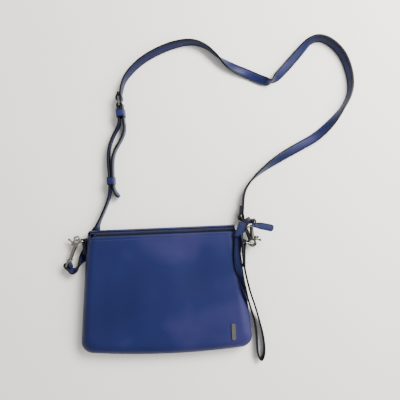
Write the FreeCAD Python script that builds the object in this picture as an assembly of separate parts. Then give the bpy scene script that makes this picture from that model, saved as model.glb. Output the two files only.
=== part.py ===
import FreeCAD, Part
import math
import os

# Zip-top sling bag lying on its back: +X to its right, +Y from base to zip, +Z away from the table.
# The origin is the middle of the back panel's flat, which rests on the table. Millimetres.

V = FreeCAD.Vector
UP = V(0, 0, 1)

# ---- bag body
BASE_WIDTH = 223.0
TOP_WIDTH = 193.0
BASE_Y = -77.0
TOP_Y = 82.0
DEPTH = 25.0
SEAM_Z = 10.0
BASE_CORNER = 18.0
TOP_CORNER = 5.0
CORNER_LIFT = 34.0
FOOT_INSET = 16.0
CROWN_INSET = 14.0
CROWN_TOP_INSET = 8.0
PANEL_WALL = 1.6
LINING_WALL = 0.6
LINING_GAP = 0.3
POCKET_SIZE = (110.0, 70.0, 0.8)
PROFILE_STEPS = 5

# ---- zip, set in a sloped wall between the back panel's top edge and the front panel's top edge
ZIP_BACK = V(0, 81.3, 14.0)
ZIP_FRONT = V(0, 72.9, 25.0)
ZIP_LEFT = -86.0
ZIP_RIGHT = 107.4
MOUTH_HALF = 5.2
TAPE_HALF = 5.5
TAPE_WALL = 0.6
COIL_WIDTH = 2.3
COIL_DEPTH = 2.0
ZIP_GAP = 0.55
SLIDER_X = 98.5
SLIDER_LENGTH = 11.0
SLIDER_HALF = 4.2
SLIDER_PLATE = 1.1
LINK_LENGTH = 15.0
LINK_WIRE = 0.7
BRIDGE_OUT = 5.6
PULL_LENGTH = 25.0
PULL_WIDTH = 8.0
PULL_THICK = 2.0
PULL_DROOP = 4.0

# ---- straps
STRAP_WIDTH = 12.0
STRAP_THICK = 2.5
STRAP_Z = 8.5
FLAT_Z = 1.45
WRIST_WIDTH = 9.0
WRIST_THICK = 2.0
WRIST_TOP_Z = 29.9
WRIST_LOW_Z = 4.8

# ---- hardware
CLEAR = 0.3
BAR_R = 1.1
D_HEIGHT = 15.2
D_DEPTH = 10.8
D_CORNER = 3.0
D_Z = 11.9
CLASP_LENGTH = 36.0
WRIST_CLASP_LENGTH = 29.0
RING_R = 4.4
WRIST_Z = 15.3
KEEPER_LENGTH = 10.0
KEEPER_WALL = 1.2
BUCKLE_REACH = 10.0
PRONG_WIDTH = 2.0
STRAND_LENGTH = 18.0
KEEPER_REACH = 20.0
LOWER_GAP = 1.5
TAB_Z = 28.3
TAB_THICK = 3.0
TAB_FOOT = (99.0, 62.0)

# ---- where the hardware lies: D-ring bars, clasp bars and buckle bar
LEFT_D = V(-100.5, 69.0, D_Z)
RIGHT_D = V(104.8, 59.5, D_Z)
LEFT_BOW = V(-111.0, 71.5, 0)
RIGHT_BOW = V(115.3, 57.1, 0)
LEFT_EYE = V(-124.5, 38.0, STRAP_Z)
RIGHT_EYE = V(102.5, 91.0, STRAP_Z)
WRIST_EYE = V(114.5, 86.0, WRIST_Z)
LEFT_TAB_FOOT = 52.0
RIGHT_TAB_FOOT = 27.0
BUCKLE = V(-49.0, 252.0, STRAP_Z)
BUCKLE_AIM = V(0.06, -0.998, 0)

# ---- strap routes in plan
UPPER_ROUTE = [
    (103.6, 112), (107.5, 124), (118, 139), (135, 153), (157, 167), (182, 180),
    (205, 191), (224, 207), (241, 227), (253, 248), (253, 271), (246, 295),
    (234, 311), (218, 321), (203, 319), (191, 307), (173, 288), (158, 273),
    (150, 266), (141, 267), (120, 278), (98, 288), (80, 303), (67, 316),
    (48, 323), (25, 320), (2, 312), (-20, 300), (-36, 285), (-44, 273), (-47.5, 264),
]
CORNER_ROUTE = [(-122.0, 33.5), (-118.8, 29.6), (-113.6, 32.4), (-108.6, 41.4)]
TWIST_LENGTH = 15.0
TWIST_STEPS = 4
LOWER_ROUTE = [
    (-81.5, 94), (-73.5, 110), (-68.0, 123), (-65.6, 136), (-65.7, 152), (-66.8, 165),
    (-66.6, 179), (-64.2, 192), (-59.4, 203), (-54.0, 212), (-50.4, 219), (-50.0, 224.2),
]
TAIL_ROUTE = [
    (-44.9, 223.9), (-43.8, 214), (-46.2, 204), (-52.0, 194), (-58.2, 184.5), (-61.4, 173),
    (-61.9, 155), (-61.8, 138), (-59.8, 130), (-55.0, 124),
]
LOWER_KEEPER = V(-63.75, 145.0, STRAP_Z)
WRIST_INNER = [(97.0, 62.0), (94.8, 46.0), (95.2, 29.0), (100.0, 12.0)]
WRIST_OUTER = [(101.6, 62.0), (103.6, 46.0), (104.4, 29.0), (105.0, 12.0)]
WRIST_LOOP = [
    (115.0, -45.0), (116.8, -62.0), (116.9, -78.0), (117.5, -90.0), (121.2, -98.0),
    (125.4, -91.0), (126.4, -78.0), (124.8, -61.0), (120.8, -44.0),
]


def save(name, shape):
    shape.exportStep("parts/" + name + ".step")


def box(low, high):
    """Box between two opposite corners."""
    size = [high[i] - low[i] for i in range(3)]
    return Part.makeBox(size[0], size[1], size[2], V(*low))


def rod(start, end, radius):
    """Cylinder from one point to another."""
    run = end - start
    return Part.makeCylinder(radius, run.Length, start, run)


def to_frame(shape, origin, along, up=UP):
    """Carries a shape drawn along +Y, with +Z up, to an origin and a heading."""
    y = V(along).normalize()
    x = y.cross(up).normalize()
    z = x.cross(y)
    matrix = FreeCAD.Matrix(x.x, y.x, z.x, origin.x, x.y, y.y, z.y, origin.y,
                            x.z, y.z, z.z, origin.z, 0, 0, 0, 1)
    placed = shape.copy()
    placed.transformShape(matrix)
    return placed


# ---- flat outlines with tangent arcs

def corner_arc(before, corner, after, radius):
    """Tangent points, middle and centre of the arc that rounds a corner."""
    toward = (before - corner).normalize()
    away = (after - corner).normalize()
    half = toward.getAngle(away) / 2
    reach = radius / math.tan(half)
    middle_line = (toward + away).normalize()
    centre = corner + middle_line * (radius / math.sin(half))
    return corner + toward * reach, centre - middle_line * radius, corner + away * reach, centre


def rounded_outline(points, radii):
    """Closed wire through the corners, each rounded by its own radius."""
    count = len(points)
    arcs = [corner_arc(points[i - 1], points[i], points[(i + 1) % count], radii[i]) for i in range(count)]
    edges = []
    for i in range(count):
        start, middle, end, _ = arcs[i]
        edges.append(Part.Arc(start, middle, end).toShape())
        edges.append(Part.LineSegment(end, arcs[(i + 1) % count][0]).toShape())
    return Part.Wire(edges)


def route_radii(points):
    """Arc radius at each inner point: 0.45 of the shorter run over the tangent of half the turn."""
    radii = []
    for before, corner, after in zip(points, points[1:], points[2:]):
        turn = (corner - before).getAngle(after - corner)
        radii.append(0.45 * min((corner - before).Length, (after - corner).Length) / math.tan(turn / 2))
    return radii


def side_edges(points, radii, shift):
    """Edges of the line that runs beside a route, shifted to its left."""
    def beside(a, b, p):
        run = (b - a).normalize()
        return p + V(-run.y, run.x, 0) * shift

    edges = []
    last = beside(points[0], points[1], points[0])
    for i, radius in enumerate(radii):
        before, corner, after = points[i:i + 3]
        start, middle, end, centre = corner_arc(before, corner, after, radius)
        left_turn = (corner - before).cross(after - corner).z > 0
        grown = radius - shift if left_turn else radius + shift
        first = beside(before, corner, start)
        second = beside(corner, after, end)
        edges.append(Part.LineSegment(last, first).toShape())
        edges.append(Part.Arc(first, centre + (middle - centre) * (grown / radius), second).toShape())
        last = second
    edges.append(Part.LineSegment(last, beside(points[-2], points[-1], points[-1])).toShape())
    return edges


def ribbon(name, route, thick, height, mid_z, radii=None):
    """A strap along a flat route: thick is its size in plan, height its size along Z."""
    points = [V(x, y, mid_z - height / 2) for x, y in route]
    radii = radii or route_radii(points)
    left = side_edges(points, radii, thick / 2)
    right = side_edges(points, radii, -thick / 2)
    ends = []
    for index in (0, -1):
        ends.append(Part.LineSegment(left[index].Vertexes[index].Point, right[index].Vertexes[index].Point).toShape())
    wire = Part.Wire(Part.__sortEdges__(left + right + ends))
    solid = Part.Face(wire).extrude(V(0, 0, height))
    middle = side_edges(points, radii, 0)
    length = sum(edge.Length for edge in middle)
    print(name, "length", round(length, 1), "volume over section times length",
          round(solid.Volume / (length * thick * height), 4),
          "radii", [round(r, 1) for r in radii])
    return solid


def section(centre, heading, thick, height):
    """Upright rectangle across a heading, as a wire."""
    side = V(-heading.y, heading.x, 0).normalize() * (thick / 2)
    rise = V(0, 0, height / 2)
    corners = [centre - side - rise, centre + side - rise, centre + side + rise, centre - side + rise]
    return Part.makePolygon(corners + corners[:1])


def skin(rings):
    """Closed solid through four-cornered rings, its sides made of flat triangles."""
    faces = [Part.Face(Part.makePolygon(ring + ring[:1])) for ring in (rings[0], rings[-1])]
    for near, far in zip(rings, rings[1:]):
        for i in range(4):
            j = (i + 1) % 4
            for corners in ((near[i], near[j], far[j]), (near[i], far[j], far[i])):
                faces.append(Part.Face(Part.makePolygon(list(corners) + [corners[0]])))
    solid = Part.makeSolid(Part.makeShell(faces))
    return solid if solid.Volume > 0 else solid.reversed()


def twist(start, end, to_flat):
    """Strap making a quarter turn from on edge to flat, or back, between two points."""
    heading = V(end.x - start.x, end.y - start.y, 0).normalize()
    side = V(-heading.y, heading.x, 0)
    rings = []
    for step in range(TWIST_STEPS + 1):
        share = step / TWIST_STEPS
        lean = math.radians(90 * (share if to_flat else 1 - share))
        wide = (UP * math.cos(lean) + side * math.sin(lean)) * (STRAP_WIDTH / 2)
        thin = (UP * math.sin(lean) - side * math.cos(lean)) * (STRAP_THICK / 2)
        centre = start + (end - start) * share
        clear_edge = (STRAP_Z - STRAP_WIDTH / 2) * math.cos(lean) + (FLAT_Z - STRAP_THICK / 2) * math.sin(lean)
        centre.z = clear_edge + abs(wide.z) + abs(thin.z)
        rings.append([centre - wide - thin, centre + wide - thin, centre + wide + thin, centre - wide + thin])
    return skin(rings)


# ---- the pouch

def half_width(y):
    share = (TOP_Y - y) / (TOP_Y - BASE_Y)
    return TOP_WIDTH / 2 + share * (BASE_WIDTH - TOP_WIDTH) / 2


def level(z, inset, top_inset, lift):
    """Outline of the pouch at one height."""
    top = TOP_Y - top_inset
    base = BASE_Y + inset
    points = [V(half_width(base) - inset, base, z), V(half_width(top) - inset, top, z),
              V(inset - half_width(top), top, z), V(inset - half_width(base), base, z)]
    return rounded_outline(points, [BASE_CORNER + lift, TOP_CORNER + lift, TOP_CORNER + lift, BASE_CORNER + lift])


def pouch(shell):
    """Solid pillow form, its skin a given depth inside the outer face."""
    wires = []
    for step in range(PROFILE_STEPS + 1):
        t = math.radians(90 * (1 - step / PROFILE_STEPS))
        z = SEAM_Z - (SEAM_Z - shell) * math.sin(t)
        inset = shell + (FOOT_INSET - shell) * (1 - math.cos(t))
        wires.append(level(z, inset, inset, CORNER_LIFT * math.sin(t)))
    for step in range(1, PROFILE_STEPS + 1):
        t = math.radians(90 * step / PROFILE_STEPS)
        z = SEAM_Z + (DEPTH - shell - SEAM_Z) * math.sin(t)
        share = 1 - math.cos(t)
        inset = shell + (CROWN_INSET - shell) * share
        wires.append(level(z, inset, shell + (CROWN_TOP_INSET - shell) * share, 0))
    return Part.makeLoft(wires, True, True).cut(beyond_zip(shell))


ACROSS = (ZIP_FRONT - ZIP_BACK).normalize()
OUTWARD = V(0, ACROSS.z, -ACROSS.y)
ZIP_MIDDLE = (ZIP_FRONT + ZIP_BACK) * 0.5


def zip_box(x_low, x_high, across_low, across_high, out_low, out_high):
    """Box in the zip wall's own directions: along X, across the zip and outward."""
    corner = ZIP_MIDDLE + V(x_low, 0, 0) + ACROSS * across_low + OUTWARD * out_low
    base = Part.makePolygon([corner, corner + ACROSS * (across_high - across_low),
                             corner + ACROSS * (across_high - across_low) + V(x_high - x_low, 0, 0),
                             corner + V(x_high - x_low, 0, 0), corner])
    return Part.Face(base).extrude(OUTWARD * (out_high - out_low))


def beyond_zip(shell):
    """Space outside the plane of the zip wall."""
    return zip_box(-BASE_WIDTH, BASE_WIDTH, -60, 60, -shell, 60)


def mouth(margin, right):
    """The slot that the zip fills, cut through the wall, and the way out for its tapes at the right."""
    slot = zip_box(ZIP_LEFT - margin, right, -MOUTH_HALF - margin, MOUTH_HALF + margin, -9, 3)
    room = TAPE_HALF + CLEAR
    return slot.fuse(zip_box(0, right, -room, room, -PANEL_WALL - TAPE_WALL - CLEAR, -PANEL_WALL))


def back_zone():
    """Everything that the back panel covers: below the seam, and up to the zip along the top."""
    below = box((-BASE_WIDTH, BASE_Y - 9, -9), (BASE_WIDTH, TOP_Y + 9, SEAM_Z))
    rise = box((-BASE_WIDTH, ZIP_MIDDLE.y, SEAM_Z - 1), (BASE_WIDTH, TOP_Y + 9, ZIP_MIDDLE.z))
    return below.fuse(rise)


def main_solid(shape):
    """The largest piece of a cut shape, without the crumbs that a cut leaves."""
    return max(shape.Solids, key=lambda solid: solid.Volume)


def shells(outer, inner, margin, front_name, back_name):
    """Front and back skins between two pillow forms, parted at the seam and open at the mouth."""
    shell = pouch(outer).cut(pouch(inner)).cut(mouth(margin, BASE_WIDTH))
    zone = back_zone()
    save(front_name, main_solid(shell.cut(zone)))
    save(back_name, main_solid(shell.common(zone)))


def bag_body():
    shells(0, PANEL_WALL, 0, "front_panel", "back_panel")
    inner = PANEL_WALL + LINING_GAP
    shells(inner, inner + LINING_WALL, 2.0, "lining_front", "lining_back")
    floor = inner + LINING_WALL
    wide, tall, thick = POCKET_SIZE
    save("slip_pocket", box((-wide / 2, -tall / 2, floor), (wide / 2, tall / 2, floor + thick)))


# ---- the zip

def zip_chain():
    under = -PANEL_WALL
    for side, tag in ((-1, "back"), (1, "front")):
        edges = sorted((side * ZIP_GAP, side * TAPE_HALF))
        tape = zip_box(ZIP_LEFT - 1.5, ZIP_RIGHT, edges[0], edges[1], under - TAPE_WALL, under)
        save("zip_tape_" + tag, tape)
        edges = sorted((side * ZIP_GAP, side * (ZIP_GAP + COIL_WIDTH)))
        coil = zip_box(ZIP_LEFT + 3, ZIP_RIGHT - 3.4, edges[0], edges[1], under, under + COIL_DEPTH)
        save("zip_coil_" + tag, coil)
    reach = ZIP_GAP + COIL_WIDTH
    left = zip_box(ZIP_LEFT, ZIP_LEFT + 2.4, -reach, reach, under, under + COIL_DEPTH)
    right = zip_box(ZIP_RIGHT - 3.0, ZIP_RIGHT - 1.2, -reach, reach, under, under + COIL_DEPTH)
    save("zip_stops", Part.makeCompound([left, right]))


def slider_frame(along, outward, across=0):
    return ZIP_MIDDLE + V(along, 0, 0) + OUTWARD * outward + ACROSS * across




def zip_slider():
    half = SLIDER_LENGTH / 2
    low = SLIDER_X - half
    high = SLIDER_X + half
    top = COIL_DEPTH - PANEL_WALL + CLEAR
    under = -PANEL_WALL - TAPE_WALL - CLEAR
    upper_plate = zip_box(low, high, -SLIDER_HALF, SLIDER_HALF, top, top + SLIDER_PLATE)
    lower_plate = zip_box(low, high, -SLIDER_HALF, SLIDER_HALF, under - SLIDER_PLATE, under)
    post = zip_box(high - 3.4, high - 0.6, -0.25, 0.25, under, top)
    arch = zip_box(SLIDER_X - 1.5, SLIDER_X + 4.5, -1.2, 1.2, top + SLIDER_PLATE - 0.1, BRIDGE_OUT + 1.9)
    window = rod(slider_frame(SLIDER_X + 2, BRIDGE_OUT, -3), slider_frame(SLIDER_X + 2, BRIDGE_OUT, 3),
                 LINK_WIRE + 0.05)
    save("zip_slider", upper_plate.fuse([lower_plate, post, arch]).cut(window).removeSplitter())


def zip_pull():
    start = SLIDER_X + 2
    half = 3.0
    end = start + LINK_LENGTH
    near = [slider_frame(start, BRIDGE_OUT, side * half) for side in (-1, 1)]
    far = [slider_frame(end, BRIDGE_OUT, side * half) for side in (-1, 1)]
    link = rod(near[0], near[1], LINK_WIRE).fuse([rod(far[0], far[1], LINK_WIRE), rod(near[0], far[0], LINK_WIRE),
                                                  rod(near[1], far[1], LINK_WIRE)])
    for point in near + far:
        link = link.fuse(Part.makeSphere(LINK_WIRE, point))
    save("zip_pull_link", link)
    out = BRIDGE_OUT
    half_thick = PULL_THICK / 2
    body = zip_box(end - 1.4, end + PULL_LENGTH, -PULL_WIDTH / 2, PULL_WIDTH / 2, out - half_thick, out + half_thick)
    relief = zip_box(end - 2, end + 1.4, half - LINK_WIRE - CLEAR, PULL_WIDTH, out - 3, out + 3)
    relief = relief.fuse(zip_box(end - 2, end + 1.4, -PULL_WIDTH, LINK_WIRE + CLEAR - half, out - 3, out + 3))
    eye = rod(slider_frame(end, out, -9), slider_frame(end, out, 9), LINK_WIRE + 0.05)
    leather = body.cut(relief).cut(eye)
    rivet_at = slider_frame(end + 5, out)
    leather.rotate(slider_frame(end, out), ACROSS, -PULL_DROOP)
    leather_hole = rod(rivet_at - OUTWARD * 4, rivet_at + OUTWARD * 4, 1.0)
    rivet = rod(rivet_at - OUTWARD * 1.6, rivet_at + OUTWARD * 1.6, 1.0)
    for side in (-1, 1):
        cap = rivet_at + OUTWARD * (side * half_thick)
        rivet = rivet.fuse(rod(cap, cap + OUTWARD * (side * 0.5), 1.8))
    for piece in (leather_hole, rivet):
        piece.rotate(slider_frame(end, out), ACROSS, -PULL_DROOP)
    save("zip_pull_leather", leather.cut(leather_hole))
    save("zip_pull_rivet", rivet)


# ---- side tabs and D-rings

def d_ring(name, bar, bow):
    """Rounded rectangle of round wire: a straight bar in the tab and a bow that the clasps hook on."""
    reach = D_DEPTH
    half = D_HEIGHT / 2
    corners = [V(0, 0, -half), V(0, reach, -half), V(0, reach, half), V(0, 0, half)]
    ring = None
    arcs = [corner_arc(corners[i - 1], corners[i], corners[(i + 1) % 4], r)
            for i, r in enumerate((2.0, D_CORNER, D_CORNER, 2.0))]
    for i in range(4):
        start, middle, end, centre = arcs[i]
        bend = Part.makeTorus((start - centre).Length, BAR_R, centre, V(1, 0, 0))
        wedge_side = 40
        keep = Part.Face(Part.makePolygon([centre, centre + (start - centre) * wedge_side,
                                           centre + (corners[i] - centre) * wedge_side * 2,
                                           centre + (end - centre) * wedge_side, centre]))
        keep = keep.extrude(V(8, 0, 0)).fuse(keep.extrude(V(-8, 0, 0)))
        piece = bend.common(keep).fuse(rod(end, arcs[(i + 1) % 4][0], BAR_R))
        ring = piece if ring is None else ring.fuse(piece)
    aim = V(bow.x - bar.x, bow.y - bar.y, 0)
    save(name, to_frame(ring.removeSplitter(), bar, aim))


def side_tab(name, bar, side, low_y):
    """Folded strip sewn to the side seam: a loop round the D-ring's bar and a tongue down the side."""
    half = STRAP_WIDTH / 2 - 0.2
    loop = Part.makeCylinder(BAR_R + 1.4, 2 * half, V(bar.x, bar.y, bar.z - half))
    bore = Part.makeCylinder(BAR_R + 0.05, 4 * half, V(bar.x, bar.y, bar.z - 2 * half))
    edge = half_width(bar.y)
    foot = half_width(low_y)
    inner = 0.6
    outer = 3.2
    tongue = Part.Face(Part.makePolygon([V(side * (edge + inner), bar.y, bar.z - half),
                                         V(side * (edge + outer + 1.6), bar.y, bar.z - half),
                                         V(side * (foot + outer), low_y, bar.z - half),
                                         V(side * (foot + inner), low_y, bar.z - half),
                                         V(side * (edge + inner), bar.y, bar.z - half)]))
    tongue = tongue.extrude(V(0, 0, 2 * half))
    save(name, loop.fuse(tongue).cut(bore))


def emblem():
    plate = box((83.2, -62.0, DEPTH), (88.2, -41.0, DEPTH + 1.2))
    upright = [edge for edge in plate.Edges if abs(edge.tangentAt(0).z) > 0.9]
    save("emblem", plate.makeFillet(2.2, upright))


# ---- swivel clasps, drawn with the eye's bar at the origin and the hook along +Y

def clasp_eye(width, upright):
    """Frame that the strap's fold goes round, with the swivel's bore in its far plate."""
    half = width / 2 + CLEAR
    wire = 1.8
    bar = rod(V(0, 0, -half - wire / 2), V(0, 0, half + wire / 2), BAR_R)
    legs = [box((-1.1, -1.1, low), (1.1, 8.4, low + wire)) for low in (-half - wire, half)]
    plate = box((-1.8, 6.4, -half - wire), (1.8, 8.4, half + wire))
    bore = rod(V(0, 5, 0), V(0, 10, 0), 1.3)
    eye = bar.fuse(legs + [plate]).cut(bore).removeSplitter()
    if not upright:
        eye.rotate(V(0, 0, 0), V(0, 1, 0), 90)
    return eye


def clasp_hook(length):
    """Swivel stem, shank and hook, open on the -X side where the gate closes it."""
    centre = V(0, length - 1.2, 0)
    stem = rod(V(0, 5.9, 0), V(0, 10.4, 0), 1.25)
    head = rod(V(0, 4.6, 0), V(0, 6.2, 0), 2.1)
    collar = rod(V(0, 8.6, 0), V(0, 11.0, 0), 2.4)
    shank = Part.makeCone(2.4, 3.0, centre.y - RING_R - 12.0, V(0, 11.0, 0), V(0, 1, 0))
    cheeks = box((-4.8, centre.y - RING_R - 4.0, -2.2), (2.8, centre.y - RING_R + 1.2, 2.2))
    slot = box((-6.0, centre.y - RING_R - 2.6, -1.35), (-1.6, centre.y - RING_R + 3.0, 1.35))
    ring = Part.makeTorus(RING_R, 1.15, centre, UP)
    gap = box((-9, centre.y - RING_R + 0.4, -5), (-1.2, centre.y + 0.6, 5))
    pin_bore = rod(clasp_pivot(length) - UP * 4, clasp_pivot(length) + UP * 4, 0.6)
    hook = stem.fuse([head, collar, shank, cheeks, ring.cut(gap)])
    return hook.cut(slot).cut(pin_bore).removeSplitter()


def clasp_pivot(length):
    return V(-3.4, length - 1.2 - RING_R - 0.6, 0)


def clasp_gate(length):
    """Gate arm from the pivot to the nose, with its thumb lever."""
    pivot = clasp_pivot(length)
    nose = V(-3.6, length - 0.9, 0)
    hub = Part.makeCylinder(1.5, 2.0, pivot - UP * 1.0)
    arm = to_frame(box((-0.7, 0, -1.0), (0.7, (nose - pivot).Length, 1.0)), pivot, nose - pivot)
    tip = pivot + V(-6.4, 2.2, 0)
    lever = to_frame(box((-0.8, 0, -1.0), (0.8, (tip - pivot).Length, 1.0)), pivot, tip - pivot)
    thumb_pad = Part.makeCylinder(1.5, 2.0, tip - UP * 1.0)
    return hub.fuse([arm, lever, thumb_pad]).cut(Part.makeCylinder(0.65, 9, pivot - UP * 4.5))


def clasp_pin(length):
    pivot = clasp_pivot(length)
    return rod(pivot - UP * 2.5, pivot + UP * 2.5, 0.6)


def clasp_spring(length):
    """Small coil round the pin, beside the gate's hub, drawn as its outer tube."""
    pivot = clasp_pivot(length)
    tube = Part.makeCylinder(1.2, 0.25, pivot + UP * 1.05)
    return tube.cut(Part.makeCylinder(0.7, 2, pivot))


def clasp(tag, eye, bow, length, width, upright):
    aim = V(bow.x - eye.x, bow.y - eye.y, 0)
    pieces = {"eye": clasp_eye(width, upright), "hook": clasp_hook(length), "gate": clasp_gate(length),
              "gate_pin": clasp_pin(length), "gate_spring": clasp_spring(length)}
    for piece, shape in pieces.items():
        save(tag + "_clasp_" + piece, to_frame(shape, eye, aim))


# ---- shoulder strap

def strap_fold(eye, away, tongue_length):
    """Strap end folded round a clasp's bar, its two layers sewn together as a tongue."""
    half = STRAP_WIDTH / 2
    sleeve_r = BAR_R + CLEAR + STRAP_THICK
    sleeve = Part.makeCylinder(sleeve_r, STRAP_WIDTH, V(0, 0, -half))
    tongue = box((-STRAP_THICK, 0, -half), (STRAP_THICK, tongue_length, half))
    bore = Part.makeCylinder(BAR_R + CLEAR, STRAP_WIDTH * 2, V(0, 0, -2 * half))
    return to_frame(sleeve.fuse(tongue).cut(bore), eye, away)


def flat_point(pair, z=0.0):
    return V(pair[0], pair[1], z)


def shoulder_strap():
    first = flat_point(UPPER_ROUTE[0])
    start = V(RIGHT_EYE.x, RIGHT_EYE.y, 0)
    save("strap_fold_right", strap_fold(RIGHT_EYE, first - start, (first - start).Length))
    save("strap_upper", ribbon("strap_upper", UPPER_ROUTE, STRAP_THICK, STRAP_WIDTH, STRAP_Z))
    last = flat_point(UPPER_ROUTE[-1])
    bar = V(BUCKLE.x, BUCKLE.y, 0)
    save("strap_fold_buckle", strap_fold(BUCKLE, last - bar, (last - bar).Length).cut(prong_room()))

    out = flat_point(CORNER_ROUTE[0])
    left_bar = V(LEFT_EYE.x, LEFT_EYE.y, 0)
    save("strap_fold_left", strap_fold(LEFT_EYE, out - left_bar, (out - left_bar).Length))
    bend = ribbon("strap_corner", CORNER_ROUTE, STRAP_THICK, STRAP_WIDTH, STRAP_Z)
    begin = flat_point(CORNER_ROUTE[-1], STRAP_Z)
    heading = flat_point(CORNER_ROUTE[-1]) - flat_point(CORNER_ROUTE[-2])
    end = flat_point(LOWER_ROUTE[0], STRAP_Z)
    under = begin + heading.normalize() * TWIST_LENGTH
    under.z = FLAT_Z
    final = flat_point(LOWER_ROUTE[0]) - flat_point(LOWER_ROUTE[1])
    rise = end + final.normalize() * TWIST_LENGTH
    rise.z = FLAT_Z
    down = twist(begin, under, True)
    up = twist(rise, end, False)
    side = V(-heading.y, heading.x, 0) * (STRAP_WIDTH / 2)
    far_side = V(final.y, -final.x, 0).normalize() * (STRAP_WIDTH / 2)
    drop = V(0, 0, STRAP_THICK / 2)
    outline = [under - side - drop, under + side - drop, rise + far_side - drop, rise - far_side - drop]
    slab = Part.Face(Part.makePolygon(outline + outline[:1])).extrude(drop * 2)
    lower = ribbon("strap_lower", LOWER_ROUTE, STRAP_THICK, STRAP_WIDTH, STRAP_Z)
    save("strap_under_corner", bend.fuse([down, slab, up]))
    save("strap_lower", lower)


# ---- buckle, keepers and tail

def strand_box(along_low, along_high, across_low, across_high, half_height):
    """Box in the buckle's own directions: along the strands from the bar, across them and along Z."""
    return box((across_low, along_low, -half_height), (across_high, along_high, half_height))


def buckle():
    """Frame with two bars: the upper strap is folded round one, the lower strap turns back over the other."""
    half = STRAP_WIDTH / 2 + CLEAR
    wire = 1.8
    bars = [rod(V(0, y, -half - wire), V(0, y, half + wire), BAR_R) for y in (0, BUCKLE_REACH)]
    sides = [box((-1.1, -BAR_R, low), (1.1, BUCKLE_REACH + BAR_R, low + wire)) for low in (-half - wire, half)]
    save("buckle_frame", to_frame(bars[0].fuse([bars[1]] + sides).removeSplitter(), BUCKLE, BUCKLE_AIM))
    hub = Part.makeCylinder(BAR_R + 0.9, PRONG_WIDTH, V(0, 0, -PRONG_WIDTH / 2))
    arm = box((-BAR_R - 0.9, 0, -PRONG_WIDTH / 2), (-BAR_R - 0.05, BUCKLE_REACH, PRONG_WIDTH / 2))
    bore = Part.makeCylinder(BAR_R + 0.05, 9, V(0, 0, -4.5))
    save("buckle_prong", to_frame(hub.fuse(arm).cut(bore), BUCKLE, BUCKLE_AIM))


def prong_room():
    """Slot through the strap's folds that the prong sits and turns in."""
    half = PRONG_WIDTH / 2 + CLEAR
    return to_frame(strand_box(-4.6, BUCKLE_REACH + 1.4, -9.0, 4.6, half), BUCKLE, BUCKLE_AIM)


def turn_back():
    """Lower strap going over the buckle's second bar, as a half tube with two short strands."""
    half = STRAP_WIDTH / 2
    inner = BAR_R + 0.2
    outer = inner + STRAP_THICK
    ring = Part.makeCylinder(outer, STRAP_WIDTH, V(0, BUCKLE_REACH, -half))
    ring = ring.cut(Part.makeCylinder(inner, STRAP_WIDTH, V(0, BUCKLE_REACH, -half)))
    ring = ring.common(strand_box(0, BUCKLE_REACH, -9, 9, half))
    strands = [strand_box(BUCKLE_REACH, BUCKLE_REACH + STRAND_LENGTH, low, low + STRAP_THICK, half)
               for low in (-outer, inner)]
    return to_frame(ring.fuse(strands), BUCKLE, BUCKLE_AIM).cut(prong_room())


def keeper(name, origin, aim, thick):
    """Leather loop round the strands: thick is how much strap it holds."""
    inside = thick / 2 + CLEAR
    half = STRAP_WIDTH / 2 + CLEAR
    half_length = KEEPER_LENGTH / 2
    body = strand_box(-half_length, half_length, -inside - KEEPER_WALL, inside + KEEPER_WALL, half + KEEPER_WALL)
    hole = strand_box(-KEEPER_LENGTH, KEEPER_LENGTH, -inside, inside, half)
    save(name, to_frame(body.cut(hole), origin, aim))


# ---- wrist loop

def slope(top, low):
    """Strap run from the upper level to the lower one, its ends upright and facing along its heading."""
    heading = (flat_point(low) - flat_point(top)).normalize()
    ends = [section(flat_point(top, WRIST_TOP_Z), heading, WRIST_THICK, WRIST_WIDTH),
            section(flat_point(low, WRIST_LOW_Z), heading, WRIST_THICK, WRIST_WIDTH)]
    return Part.makeLoft(ends, True, True)


def wrist_strap():
    pieces = []
    for tag, route, foot in (("inner", WRIST_INNER, WRIST_LOOP[0]), ("outer", WRIST_OUTER, WRIST_LOOP[-1])):
        upper = ribbon("wrist_" + tag, route, WRIST_THICK, WRIST_WIDTH, WRIST_TOP_Z)
        pieces.append(upper.fuse(slope(route[-1], foot)))
    pieces.append(ribbon("wrist_loop", WRIST_LOOP, WRIST_THICK, WRIST_WIDTH, WRIST_LOW_Z))
    save("wrist_strap", pieces[0].fuse(pieces[1:]))


def wrist_tab():
    """Tab folded round the wrist clasp's bar and over the zip, gripping the loop's two ends."""
    aim = V(RIGHT_BOW.x - WRIST_EYE.x, RIGHT_BOW.y - WRIST_EYE.y, 0)
    half = WRIST_WIDTH / 2
    sleeve_r = BAR_R + CLEAR + WRIST_THICK
    top = TAB_Z + TAB_THICK - WRIST_Z
    sleeve = rod(V(-half, 0, 0), V(half, 0, 0), sleeve_r)
    riser = box((-half, -sleeve_r, 0), (half, -sleeve_r + WRIST_THICK, top))
    bore = rod(V(-WRIST_WIDTH, 0, 0), V(WRIST_WIDTH, 0, 0), BAR_R + CLEAR)
    fold = to_frame(sleeve.fuse(riser).cut(bore), WRIST_EYE, aim)
    head = WRIST_EYE - V(aim).normalize() * sleeve_r
    foot = flat_point(TAB_FOOT)
    side = V(-(foot - head).y, (foot - head).x, 0).normalize() * half
    outline = [V(p.x, p.y, TAB_Z) for p in (head - side, head + side, foot + side, foot - side, head - side)]
    slab = Part.Face(Part.makePolygon(outline)).extrude(V(0, 0, TAB_THICK))
    save("wrist_tab", fold.fuse(slab))



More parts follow.
